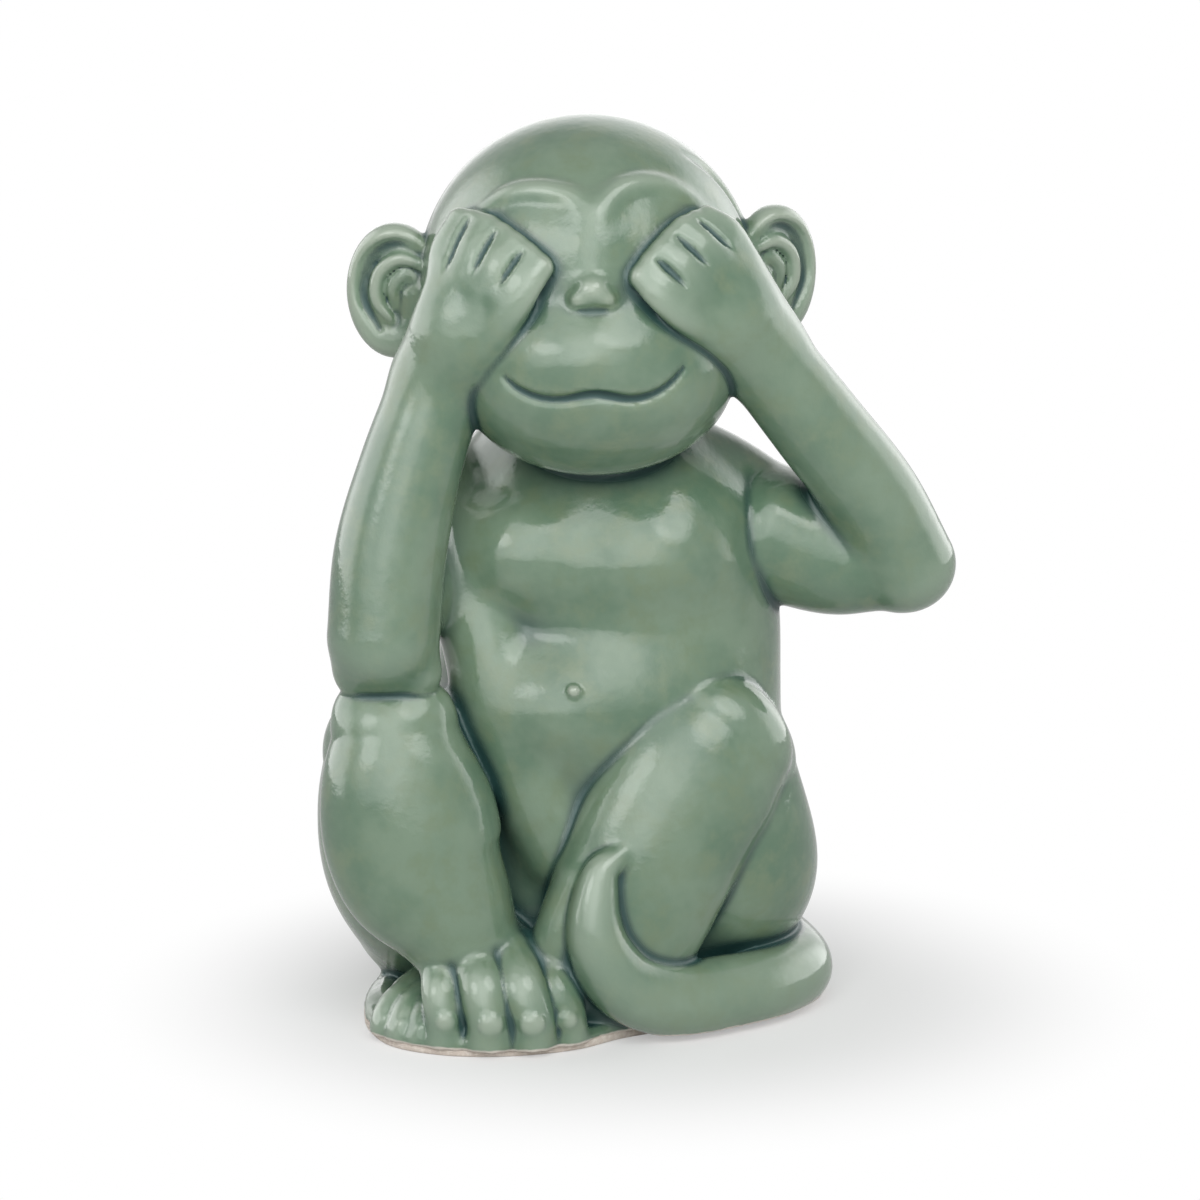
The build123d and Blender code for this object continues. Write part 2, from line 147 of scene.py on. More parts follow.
def eased(marks, sizes, reach):
    """Sizes that belong to marks, read at other places on the cubic curve through them.

    In each leg the two sizes and the two slopes at its ends are weighted by the four cubic
    polynomials of the share of the leg that lies behind.
    """
    sizes = np.asarray(sizes, float)
    slopes = np.gradient(sizes, marks) if len(marks) > 2 else np.full(2, np.diff(sizes)[0] / marks[-1])
    leg = np.clip(np.searchsorted(marks, reach) - 1, 0, len(marks) - 2)
    span = marks[leg + 1] - marks[leg]
    share = (reach - marks[leg]) / span
    return (
        sizes[leg] * (1 + 2 * share) * (1 - share) ** 2
        + sizes[leg + 1] * share * share * (3 - 2 * share)
        + span * (slopes[leg] * share * (1 - share) ** 2 - slopes[leg + 1] * share * share * (1 - share))
    )


def curve_through(points, count):
    """Evenly counted points on the cubic curve through points, and where each lies on it."""
    points = np.asarray(points, float)
    gaps = np.linalg.norm(np.diff(points, axis=0), axis=1)
    marks = np.concatenate([[0], np.cumsum(gaps)])
    reach = np.linspace(0, marks[-1], count)
    line = np.stack([eased(marks, points[:, axis], reach) for axis in range(points.shape[1])], 1)
    return line, marks, reach


LINE_STEP = 1.6
FEWEST_POINTS = 8


def limb(points, half_widths, half_depths=None, wide=(1, 0, 0)):
    """The form of a limb: ellipses square to a smooth line, with round ends.

    Each grid point finds the nearest place on the line, first among its counted points, then
    between them on the parabola through three squared distances. Its distance is the radial one
    in an ellipsoid with the widths of that place, whose third radius is the half depth.
    """
    half_depths = half_widths if half_depths is None else half_depths
    points = np.asarray(points, float)
    length = np.linalg.norm(np.diff(points, axis=0), axis=1).sum()
    count = max(FEWEST_POINTS, int(length / LINE_STEP))
    line, marks, reach = curve_through(points, count)
    widths = eased(marks, half_widths, reach)
    depths = eased(marks, half_depths, reach)
    along = np.gradient(line, axis=0)
    along /= np.linalg.norm(along, axis=1)[:, None]
    sides = np.empty_like(line)
    side = np.asarray(wide, float)
    for index in range(count):
        side = side - along[index] * (side @ along[index])
        side = side / np.linalg.norm(side)
        sides[index] = side
    size = max(widths.max(), depths.max())
    start, (x, y, z) = window(line.min(0) - size, line.max(0) + size)
    best = np.full(np.broadcast(x, y, z).shape, np.inf, np.float32)
    nearest = np.zeros(best.shape, np.int16)
    for index, (across, back, up) in enumerate(line):
        square = ((x - across) ** 2 + (y - back) ** 2 + (z - up) ** 2).astype(np.float32)
        closer = square < best
        best[closer] = square[closer]
        nearest[closer] = index
    close = best < (size + REACH) ** 2
    grid = np.stack([np.broadcast_to(each, best.shape)[close] for each in (x, y, z)], 1)
    middle = np.clip(nearest[close], 1, count - 2).astype(int)
    before, here, after = [((grid - line[middle + shift]) ** 2).sum(1) for shift in (-1, 0, 1)]
    bend = np.maximum(before - 2 * here + after, LEAST)
    place = middle + np.clip((before - after) / (2 * bend), -1, 1)
    low = np.clip(np.floor(place).astype(int), 0, count - 2)
    share = (place - low)[:, None]
    table = np.column_stack([line, sides, along, widths, depths])
    table = table[low] * (1 - share) + table[low + 1] * share
    offset = grid - table[:, 0:3]
    across = table[:, 3:6]
    ahead = table[:, 6:9]
    above = np.cross(ahead, across)
    offsets = [(offset * axis).sum(1) for axis in (across, above, ahead)]
    values = np.full(best.shape, REACH, np.float32)
    values[close] = radial_distance(offsets, (table[:, 9], table[:, 10], table[:, 10]))
    return Form(start, values)


TORSO_LOW = (-50, -35)
TORSO_HIGH = (40, 42)
TORSO_TURN = math.radians(-20)


def stack(levels, turn):
    """The form of a casting whose level sections are ellipses turned by one angle."""
    levels = np.asarray(levels, float)
    marks = levels[:, 0]
    start, (x, y, z) = window(TORSO_LOW + (marks[0],), TORSO_HIGH + (marks[-1],))
    height = np.clip(z, marks[0], marks[-1])
    centre_x, centre_y, half_width, half_depth = [
        eased(marks, levels[:, column], height) for column in (1, 2, 3, 4)
    ]
    cos = math.cos(turn)
    sin = math.sin(turn)
    across = (x - centre_x) * cos + (y - centre_y) * sin
    back = (y - centre_y) * cos - (x - centre_x) * sin
    side = radial_distance((across, back), (half_width, half_depth))
    return Form(start, np.maximum(side, np.maximum(marks[0] - z, z - marks[-1])))


castings = {}
torso = stack(
    [
        # height, middle across, middle back, half width, half depth
        (0, -8, 6.4, 34, 28.0),
        (15, -7.4, 6.7, 35.9, 30.1),
        (37.6, -5.4, 6.2, 37, 31.5),
        (56.4, -4.5, 5.2, 37, 32.1),
        (69.6, -4.2, 4.1, 36.5, 32.1),
        (84.6, -3.4, 4.8, 35.5, 29.0),
        (98.7, -4.2, 2.8, 34.1, 27.7),
        (111.9, -6, 3.7, 31.6, 23.0),
        (120.3, -8, 4.0, 24.4, 18.6),
        (127.8, -9.4, 4.3, 17, 15.8),
    ],
    TORSO_TURN,
)
belly = ellipsoid((-13.0, -9.5, 67.0), (23, 20.2, 17))
right_breast = ellipsoid((-22.0, -9.5, 98.5), (15, 13.4, 13))
left_breast = ellipsoid((4.0, -11.5, 98.5), (15, 15.0, 13))
left_shoulder = limb([(6, 3, 118), (20, 1, 112), (31, -1, 105)], [9, 8.4, 8])
right_flank = limb(
    [(-31.5, -6, 100), (-32.0, -9.5, 88), (-28.5, -14.5, 71), (-23, -17, 54), (-15.5, -18.5, 38)],
    [9, 9, 9.6, 9.4, 9],
)
for swelling, blend in (
    (belly, 6), (right_breast, 8), (left_breast, 7), (left_shoulder, 7), (right_flank, 6)
):
    torso = joined(torso, swelling, blend)
navel = limb([(-14.6, -33.0, 74.6), (-14.2, -29.4, 74.0)], [2.0, 1.3])
navel_knot = ellipsoid((-14.2, -28.6, 73.2), (1.5, 1.4, 1.3))
castings["torso"] = joined(carved(torso, navel, 1.6), navel_knot, 0.8)

# Head: a hollow slip casting of a round skull and a broad jaw, luted onto the neck. It has eye
# hollows, a brow that dips to the bridge of a small snub nose, and a wide mouth line cut in.
SKULL = np.array([-9.0, 0.0, 153.0])
SKULL_RADIUS = 35.0
EYE_RADIUS = 15
EYE_RISE = 14
EYE_LIFT = 13.2
NOSE_BLEND = 2.2


def on_head(turn, rise, lift=0.0):
    """A point over the skull: its middle, plus its radius and a lift along a direction.

    The direction is turned from the face to the monkey's left and risen from level, in degrees.
    """
    turn = math.radians(turn)
    rise = math.radians(rise)
    aim = np.array([math.cos(rise) * math.sin(turn), -math.cos(rise) * math.cos(turn), math.sin(rise)])
    return SKULL + aim * (SKULL_RADIUS + lift)


def over_head(places):
    """Points over the skull, one for each turn, rise and lift."""
    return [on_head(*place) for place in places]


head = joined(ellipsoid(SKULL, (SKULL_RADIUS,) * 3), ellipsoid((-9, -20.1, 138), (28.5, 21.3, 21.3)), 7)
head = joined(head, ellipsoid((-10.6, -26, 143.0), (18, 15.6, 10.5)), 6)
for turn in (-37, 34):
    head = carved(head, ellipsoid(on_head(turn, EYE_RISE, EYE_LIFT), (EYE_RADIUS,) * 3), 5)
right_brow = limb(
    over_head([(-54, 27, -2.0), (-38, 38.5, -1.0), (-21, 40, -0.9), (-9, 37, -1.3), (-4, 30, -2.6)]),
    [2.2, 2.4, 2.5, 2.5, 2.6],
)
left_brow = limb(
    over_head([(-3, 25, -2.9), (0, 33, -1.3), (9, 40.5, -0.9), (23, 43, -1.2), (37, 39.5, -1.7),
               (50, 27, -2.5)]),
    [2.6, 2.5, 2.6, 2.6, 2.5, 2.3],
)
nose_bridge = limb(over_head([(-3, 30, -7.2), (-3, 20, -6.2), (-3, 9, -4.6)]), [8.0, 7.4, 6.0])
nose_tip = ellipsoid((-10.9, -35.0, 156.8), (3.5, 3.6, 3.1))
right_nostril = ellipsoid((-13.4, -35.6, 155.0), (2.2, 2.3, 1.8))
left_nostril = ellipsoid((-8.4, -35.7, 155.1), (2.2, 2.3, 1.8))
for feature, blend in (
    (right_brow, 2.6), (left_brow, 2.6), (nose_bridge, 5),
    (nose_tip, NOSE_BLEND), (right_nostril, NOSE_BLEND), (left_nostril, NOSE_BLEND),
):
    head = joined(head, feature, blend)
under_nose = limb([(-13.4, -37.5, 153.2), (-10.9, -38.2, 152.8), (-8.4, -37.6, 153.2)], [0.5, 0.7, 0.5])
mouth_line = limb(
    [(-28.9, -35.5, 139.6), (-27.0, -36.8, 137.7), (-24.4, -38.1, 136.3), (-20.8, -39.6, 135.4),
     (-16.8, -40.7, 135.5), (-13.9, -41.2, 136.1), (-10.9, -41.5, 136.5), (-7.9, -41.4, 136.1),
     (-4.4, -41.1, 135.4), (-0.8, -40.5, 135.6), (2.5, -39.7, 136.8), (5.6, -38.5, 139.0),
     (7.6, -37.2, 141.3)],
    [0.7, 1.0, 1.1, 1.2, 1.2, 1.2, 1.2, 1.2, 1.2, 1.2, 1.1, 1.0, 0.7],
)
temple_crease = limb(
    [(11.6, -9.6, 181.6), (17.2, -6.6, 176.9), (21.4, -5.6, 171.0), (24.2, -6.2, 164.6)],
    [1.2, 2.0, 2.0, 1.2],
)
for line, blend in ((under_nose, 1.4), (mouth_line, 1.2), (temple_crease, 2.4)):
    head = carved(head, line, blend)
castings["head"] = head

# Ears: round dishes of the same clay with a rolled rim and two curved inner ridges. Each is
# pressed in a mould of its own and luted to the side of the skull.
EAR_MIDDLE = (5.0, -0.3)
EAR_HALF = (10.4, 14.0)
EAR_HALF_THICKNESS = 3.5
EAR_EDGE = 3.0
EAR_BOX = 20
BOWL = [(0, 6, 3.4), (6.5, 2.5, 3.2), (5.0, -5, 3.2)]
HELIX = [(-3, 8.2, 0.0), (4.2, 9.6, 0.0), (9.9, 6.2, 0.0), (11.2, -1.2, 0.0), (7.6, -8.0, 0.0)]
RIDGE = [(-2.4, 5.2, -1.3), (3.2, 6.6, -1.3), (7.6, 3.6, -1.3), (8.2, -2.2, -1.3), (5.2, -6.0, -1.3)]
CONCHA = [(-1.4, 2.2, -2.2), (2.2, 3.2, -2.2), (4.8, 0.8, -2.2), (4.4, -3.2, -2.2)]


def rounded_slab(outline, face, edge):
    """The distance to a slab with a round edge, from those to its outline and its face.

    Both are moved in by the edge's radius. Outside them it is their joint length, inside them the
    larger one, and the radius is taken off again.
    """
    outline = outline + edge
    face = face + edge
    outside = np.hypot(np.maximum(outline, 0), np.maximum(face, 0))
    return outside + np.minimum(np.maximum(outline, face), 0) - edge


def ear(side, turn, rise, swing):
    """The form of an ear: an elliptic slab with a round edge, hollowed, with two raised curves."""
    root = on_head(side * turn, rise)
    swing = math.radians(side * swing)
    across = np.array([math.cos(swing), math.sin(swing), 0]) * side
    forward = np.array([math.sin(swing), -math.cos(swing), 0])
    start, (x, y, z) = window(root - EAR_BOX, root + EAR_BOX)
    x = x - root[0]
    y = y - root[1]
    z = z - root[2]
    outward = x * across[0] + y * across[1] - EAR_MIDDLE[0] + 0 * z
    upward = z - EAR_MIDDLE[1] + 0 * x
    face = np.abs(x * forward[0] + y * forward[1] + 0 * z) - EAR_HALF_THICKNESS
    form = Form(start, rounded_slab(radial_distance((outward, upward), EAR_HALF), face, EAR_EDGE))

    def line_on_ear(places, radii):
        """A limb through places given as way out, height, and lift off the ear's front."""
        points = [
            root + across * out + np.array([0, 0, height]) + forward * (EAR_HALF_THICKNESS + lift)
            for out, height, lift in places
        ]
        return limb(points, radii)

    form = carved(form, line_on_ear(BOWL, [5.2, 6.2, 4.6]), 2.4)
    form = carved(form, line_on_ear(HELIX, [0.9, 1.6, 1.7, 1.6, 0.9]), 0.9)
    form = joined(form, line_on_ear(RIDGE, [1.0, 1.5, 1.6, 1.5, 1.0]), 0.9)
    return joined(form, line_on_ear(CONCHA, [1.2, 1.8, 1.9, 1.2]), 0.9)


castings["right_ear"] = ear(-1, 86, -1, 22)
castings["left_ear"] = ear(1, 82, 4, 36)

# Arms: solid limbs of the same clay, each in two lengths that are luted together at the elbow.
# The right elbow rests on the right knee, and the left one stands out to the side.
castings["right_upper_arm"] = limb(
    [(-40.9, 4.2, 106), (-48.2, -9.9, 95.4), (-50.4, -22.1, 86.9)], [12.6, 11.5, 9.4]
)
castings["left_upper_arm"] = limb(
    [(30.0, -3.0, 100.2), (44.2, -7.3, 95.0), (53.2, -10.2, 94.6)], [14.0, 11.2, 8.8]
)
right_wrist = on_head(-58, -24, 6)
left_wrist = on_head(58, -16, 6)
right_elbow = np.array([-52.9, -26.0, 84.8])
left_elbow = np.array([57.0, -11.4, 95.0])


def bowed(start, end, share, bow):
    """A point at a share of the way between two points, moved across by a bow."""
    return start + (end - start) * share + np.array([bow, 0, 0])


right_forearm = limb(
    [right_elbow, bowed(right_elbow, right_wrist, 0.33, -2.3),
     bowed(right_elbow, right_wrist, 0.66, -2.0), right_wrist],
    [11.5, 11.5, 10.5, 9.6],
)
elbow_foot = limb([(-57.5, -24.5, 77.0), (-46.5, -26.5, 77.0)], [5.4, 5.4])
castings["right_forearm"] = joined(right_forearm, elbow_foot, 5)
castings["left_forearm"] = limb(
    [left_elbow, bowed(left_elbow, left_wrist, 0.30, 2.3),
     bowed(left_elbow, left_wrist, 0.65, 1.3), left_wrist],
    [9.9, 9.9, 9.7, 9.2],
)

# Hands: a palm and four flat fingers side by side, pressed from the same clay. Each hand is
# luted to its wrist and laid over an eye, and grooves cut with a tool part the fingers.
PALM_LIFT = 4.0
BACK_LIFT = 2.4
KNUCKLE_LIFT = 3.9
MIDDLE_LIFT = 3.2
TIP_LIFT = 1.6
ROOT_LIFT = 3.4
HALFWAY_LIFT = 0.4
WEB_LIFTS = (3.9, 3.1, 1.5)
WEB_OVERSHOOT = 0.06
ROOT_SPREAD = 0.5
BACK_HALF_WIDTHS = [9.6, 10.6, 11.0]
BACK_HALF_DEPTHS = [8.4, 6.6, 3.6]
FINGER_HALF_WIDTHS = [3.2, 3.8, 4.3, 4.2, 3.7]
FINGER_HALF_DEPTHS = [3.0, 3.0, 2.9, 2.8, 2.6]
FINGER_BLEND = 2.0
ROW_BLEND = 3.0
WEB_HALF_WIDTHS = [3.6, 3.7, 3.6]
WEB_HALF_DEPTHS = [2.8, 2.6, 2.5]
WEB_BLEND = 1.4
GROOVE_STOPS = (
    # share of the way from knuckle to tip, lift off the hand's surface
    (0.20, 0.6), (0.40, 0.1), (0.62, 0.0), (0.84, 0.0), (1.02, 0.1),
)
GROOVE_RADII = [0.5, 0.8, 0.95, 0.95, 0.75]
GROOVE_BLEND = 0.5
SEARCH_LIFTS = np.linspace(0.0, 14.0, 141)
LEAST_LIFT = 3.0


def sampled(values, places):
    """Values of a grid array between its points: the eight corners, each weighted by nearness."""
    low = np.clip(np.floor(places).astype(int), 0, np.array(values.shape[:3]) - 2)
    share = places - low
    total = 0
    for corner in range(8):
        step = np.array([corner & 1, corner >> 1 & 1, corner >> 2 & 1])
        weight = np.prod(np.where(step, share, 1 - share), axis=1)
        i, j, k = (low + step).T
        found = values[i, j, k]
        total = total + found * (weight[:, None] if found.ndim > 1 else weight)
    return total


def on_form(form, turn, rise, lift):
    """A point over the skull and a form on it: the highest tried lift inside the form, and a lift."""
    points = np.array([on_head(turn, rise, each) for each in SEARCH_LIFTS])
    inside = SEARCH_LIFTS[sampled(form.values, (points - GRID_LOW) / STEP - form.start) < 0]
    return on_head(turn, rise, (inside[-1] if len(inside) else LEAST_LIFT) + lift)


def hand(wrist, palm, knuckle, fingers):
    """The form of a hand: a back with four flat fingers and webs, parted by three grooves.

    Each finger is given by the turn and rise of its knuckle, its middle and its tip, and a web and
    a groove follow the means of two fingers.
    """
    knuckles = [on_head(*place, KNUCKLE_LIFT) for place, _, _ in fingers]
    wide = knuckles[-1] - knuckles[0]
    middle_knuckle = sum(knuckles) / len(knuckles)
    outward = (middle_knuckle - SKULL) / np.linalg.norm(middle_knuckle - SKULL)
    back = [wrist, on_head(*palm, PALM_LIFT), on_head(*knuckle, BACK_LIFT)]
    form = limb(back, BACK_HALF_WIDTHS, BACK_HALF_DEPTHS, wide)
    row = None
    for start, (_, middle, tip) in zip(knuckles, fingers):
        root = wrist + (start - middle_knuckle) * ROOT_SPREAD + outward * ROOT_LIFT
        halfway = (root + start) / 2 + outward * HALFWAY_LIFT
        points = [root, halfway, start, on_head(*middle, MIDDLE_LIFT), on_head(*tip, TIP_LIFT)]
        finger = limb(points, FINGER_HALF_WIDTHS, FINGER_HALF_DEPTHS, wide)
        row = finger if row is None else joined(row, finger, FINGER_BLEND)
    form = joined(form, row, ROW_BLEND)
    seams = [
        [np.add(here, there) / 2 for here, there in zip(one, other)]
        for one, other in zip(fingers, fingers[1:])
    ]
    for start, middle, tip in seams:
        end = tip * (1 + WEB_OVERSHOOT) - middle * WEB_OVERSHOOT
        web = [on_head(*place, lift) for place, lift in zip((start, middle, end), WEB_LIFTS)]
        form = joined(form, limb(web, WEB_HALF_WIDTHS, WEB_HALF_DEPTHS, wide), WEB_BLEND)
    uncut = form
    for start, _, tip in seams:
        groove = [
            on_form(uncut, *(start * (1 - share) + tip * share), lift) for share, lift in GROOVE_STOPS
        ]
        form = carved(form, limb(groove, GROOVE_RADII), GROOVE_BLEND)
    return form


right_hand = hand(
    right_wrist, (-46, -7), (-40, 5),
    [((-53, 3), (-54, 16), (-54, 26)), ((-44, 6), (-43, 17), (-42, 25)),
     ((-36, 5), (-33, 14), (-30, 20)), ((-28, 2), (-24, 9), (-21, 14))],
)
thumb_side = limb(over_head([(-27, 3, 2.4), (-33, -8, 3.2), (-41, -17, 4.2)]), [3.2, 4.0, 4.4])
castings["right_hand"] = joined(right_hand, thumb_side, 3)
castings["left_hand"] = hand(
    left_wrist, (44, -2), (35, 8),
    [((49, 13), (46, 20), (41, 26)), ((39, 11), (34, 18), (30, 24)),
     ((30, 6), (25, 13), (21, 18)), ((23, 1), (18, 6), (14, 11))],
)

# Legs: broad folded shins in front, thighs and haunches behind them, all of the same clay. They
# are pressed in moulds and luted to the torso and to each other.
SHIN_HALF_WIDTH = 18.2
SHIN_HALF_DEPTH = 13.0
right_shin = limb(
    [(-50.6, -24, 64.5), (-49.9, -25.5, 57), (-48.2, -27, 47.5), (-45.6, -28.5, 37),
     (-39.6, -28.5, 26.7), (-34.0, -27, 16.5)],
    SHIN_HALF_WIDTH * np.array([0.72, 0.88, 1.00, 0.97, 0.76, 0.54]),
    SHIN_HALF_DEPTH * np.array([0.86, 0.98, 1.00, 0.94, 0.84, 0.72]),
)
knee_top = limb([(-57.0, -23.5, 69.0), (-45.0, -25.0, 69.0)], [5.6, 5.6])
castings["right_shin"] = joined(right_shin, knee_top, 5)
left_shin = limb(
    [(17.8, -20, 62.0), (13.0, -22, 56.0), (6.8, -24, 46.4), (1.0, -26, 34.9),
     (-4.6, -27, 22.2), (-10.2, -26, 11.0)],
    SHIN_HALF_WIDTH * np.array([0.86, 0.98, 1.00, 0.98, 0.92, 0.78]),
    SHIN_HALF_DEPTH * np.array([0.86, 0.98, 1.02, 0.98, 0.88, 0.76]),
    (0.83, 0, -0.55),
)
shin_side = limb([(-17.5, -29.5, 14), (-16.2, -31.5, 23), (-13.2, -32.0, 33)], [7.0, 6.0, 4.5])
castings["left_shin"] = joined(left_shin, shin_side, 6)
castings["right_thigh"] = limb(
    [(-37.6, 10.6, 21), (-43.8, -0.5, 34), (-46.4, -4.5, 45), (-49.6, -13, 57.5)], [22, 21.6, 20, 15.5]
)
castings["left_thigh"] = limb([(14.7, 10.5, 22), (18.4, -5, 31), (18.1, -12.5, 53.5)], [22, 21, 15.5])

# Feet: modelled by hand and luted to the shins. The right one is in front, its four toes bent
# down to the ground, and of the left one, crossed behind it, three small toes show.
RING_HEIGHT = 1.6
TOE_WIDENING = 1.1
BEND_THINNING = 0.94
TOE_SETBACK = 0.3
TOE_BLEND = 0.8
NAIL_SHARE = 0.8
NAIL_LIFT = 0.86
NAIL_RADII = (0.62, 0.36, 0.62)
NAIL_BLEND = 0.5
TOE_WEB_SHARE = 0.8
TOE_WEB_SETBACK = 1.6
TOE_WEB_BLEND = 1.6


def foot(instep, width, toes, radius):
    """The form of a foot: an instep with a row of bent toes with nails, joined by a web.

    Each toe is given by its top, its bend, its tip and its share of the radius. The nail sits at a
    share of the way from bend to tip, and the web runs through the means of bends and tips.
    """
    form = limb(instep, [width, width])
    across = np.array(toes[-1][1]) - np.array(toes[0][1])
    for top, bend, tip, share in toes:
        girth = radius * share
        line = [top, bend, tip, (tip[0], tip[1] + TOE_SETBACK, RING_HEIGHT)]
        half_widths = [girth * TOE_WIDENING] * len(line)
        half_depths = [girth, girth * BEND_THINNING, girth, girth]
        form = joined(form, limb(line, half_widths, half_depths, across), TOE_BLEND)
        nail = np.array(tip) * NAIL_SHARE + np.array(bend) * (1 - NAIL_SHARE)
        nail = nail + (0, -girth * NAIL_LIFT, 0)
        form = joined(form, ellipsoid(nail, [girth * part for part in NAIL_RADII]), NAIL_BLEND)
    web = [(np.array(bend) + np.array(tip)) / 2 + (0, TOE_WEB_SETBACK, 0) for _, bend, tip, _ in toes]
    return joined(form, limb(web, [radius * TOE_WEB_SHARE] * len(web)), TOE_WEB_BLEND)


castings["right_foot"] = foot(
    [(-33.5, -14, 15), (-30.5, -27, 13.5)], 11.0,
    [((-41.5, -30.5, 17), (-42.2, -37.5, 12.5), (-41.2, -38.5, 6.2), 0.82),
     ((-35.2, -31.5, 18.5), (-33.5, -40, 13.2), (-32.3, -41, 6.2), 1),
     ((-27.8, -31.5, 18.5), (-25.5, -40.3, 13), (-23.8, -41, 6.2), 1),
     ((-21, -30.5, 17), (-18.4, -38, 12), (-16.4, -38.2, 6), 0.82)],
    4.6,
)
left_foot = foot(
    [(-37.5, -10, 8.5), (-46, -22, 6.0)], 6.6,
    [((-46.5, -22, 9.4), (-51.6, -27.2, 7.2), (-53.3, -29, 4.2), 1),
     ((-44.5, -25.5, 9.2), (-48.8, -31, 7.2), (-50, -33, 4.2), 1),
     ((-42.9, -29, 8.8), (-45.6, -34.1, 6.8), (-46.1, -36, 4.2), 0.9)],
    2.9,
)
heel = limb([(-49.5, -18.0, 2.4), (-52.0, -9.0, 2.4), (-50.5, 2.0, 2.4)], [2.8, 2.6, 2.4])
castings["left_foot"] = joined(left_foot, heel, 3)

# Tail: a coil of clay rolled by hand to a taper. It is luted on from the back round the left
# haunch, and ends in a small hook on the left shin.
castings["tail"] = limb(
    [(-20, 27, 14), (-1.3, 36.4, 10.5), (17.4, 32, 9), (29.5, 19, 8.3), (34.2, 5, 7.7),
     (34.4, -9, 7.5), (28, -19, 7.5), (18, -26, 7.6), (5.4, -32.5, 8.6), (-5.2, -36.8, 14),
     (-10.1, -38.6, 22.5), (-10.6, -38.4, 31.5), (-8.8, -37.2, 37.6), (-5.2, -36.2, 40.4)],
    [10, 9.5, 8.8, 7.6, 7.6, 7.6, 7.6, 7.9, 8.06, 7.5, 6.3, 4.8, 3.5, 2.2],
    wide=(0, 1, 0),
)

# Skin of glaze: all castings in one form, fired together. The fillets are wide where a limb
# grows out of the body and narrow where two castings only touch, and the sole they stand on is
# a slab with a round edge, cut flat above the foot ring.
BODY_BLENDS = (
    ("left_upper_arm", 2.5), ("right_upper_arm", 9), ("left_thigh", 6), ("right_thigh", 6),
    ("head", 2.4), ("right_ear", 2), ("left_ear", 2),
)
skin = castings["torso"]
for name, blend in BODY_BLENDS:
    skin = joined(skin, castings[name], blend)
right_arm = joined(castings["right_forearm"], castings["right_hand"], 5)
left_arm = joined(castings["left_forearm"], castings["left_hand"], 5)
for part, blend in (
    (joined(castings["left_shin"], castings["tail"], 2), 2),
    (joined(castings["right_shin"], castings["right_foot"], 4), 3.4),
    (castings["left_foot"], 1.6),
    (right_arm, 1.7),
    (joined(left_arm, castings["left_upper_arm"], 6), 1.7),
):
    skin = joined(skin, part, blend)

GROUND_POINTS = [
    (-54, -22), (-50, -33), (-42, -38.5), (-28, -40.5), (-15, -37), (-6, -30.5), (8, -24),
    (22, -17.5), (34, -11), (38.5, -3), (37.5, 8), (32, 22), (20, 35), (2, 41), (-20, 40),
    (-40, 28), (-50, 10), (-54, -6),
]
OUTLINE_COUNT = 360
SOLE_LOW = (-55, -42, 0)
SOLE_HIGH = (40, 42, 3.4)
SOLE_REACH = 2.4
SOLE_EDGE = 1.2
SOLE_BLEND = 4


def ground_outline(inset):
    """The figurine's outline on the ground, moved inwards by an inset.

    The curve runs three times round the points and its middle round is kept, so that it closes
    smoothly. The inset is along the line's direction turned by a right angle.
    """
    rounds = curve_through(np.array(GROUND_POINTS * 3, float), OUTLINE_COUNT * 3)[0]
    line = rounds[OUTLINE_COUNT : 2 * OUTLINE_COUNT]
    along = np.roll(line, -1, 0) - np.roll(line, 1, 0)
    along /= np.linalg.norm(along, axis=1)[:, None]
    return line + np.stack([-along[:, 1], along[:, 0]], 1) * inset


def sole_form():
    """The form of the sole: the least distance to the outline's legs, rounded at its upper edge.

    A point is inside where a ray from it crosses the outline an odd number of times.
    """
    start, (x, y, z) = window(SOLE_LOW, SOLE_HIGH)
    line = ground_outline(-SOLE_REACH)
    best = np.full(np.broadcast(x, y).shape, np.inf)
    inside = np.zeros(best.shape, bool)
    for (from_x, from_y), (to_x, to_y) in zip(line, np.roll(line, -1, 0)):
        leg_x = to_x - from_x
        leg_y = to_y - from_y
        share = ((x - from_x) * leg_x + (y - from_y) * leg_y) / (leg_x**2 + leg_y**2)
        share = np.clip(share, 0, 1)
        best = np.minimum(best, np.hypot(x - from_x - share * leg_x, y - from_y - share * leg_y))
        crosses = (from_y > y) != (to_y > y)
        inside ^= crosses & (x < from_x + (y - from_y) * leg_x / (leg_y + LEAST))
    outline = np.where(inside, -best, best)
    return Form(start, rounded_slab(outline, z - SOLE_HIGH[2] + 0 * outline, SOLE_EDGE))


skin = joined(skin, sole_form(), SOLE_BLEND)

# Ridges and creases of the skin, where the glaze runs thin or pools, and where the glaze colour gets painted
# shade in creases and broad hollows: how far the field smoothed over a fine and a broad width lies above the
# field itself.
BLUR_TAIL = 2.5
FINE_WIDTH = 1.3
BROAD_WIDTH = 3.2


def blurred(values, width):
    """Values smoothed over a width in millimetres.

    Along one axis after another, each becomes the mean of its neighbours weighted by a bell curve.
    """
    taps = int(math.ceil(BLUR_TAIL * width / STEP))
    weights = np.exp(-0.5 * (np.arange(-taps, taps + 1) * STEP / width) ** 2)
    weights /= weights.sum()
    for axis in range(3):
        padded = np.pad(values, [(taps, taps) if i == axis else (0, 0) for i in range(3)], mode="edge")
        total = np.zeros_like(values)
        for index, weight in enumerate(weights):
            part = [slice(None)] * 3
            part[axis] = slice(index, index + values.shape[axis])
            total += np.float32(weight) * padded[tuple(part)]
        values = total
    return values


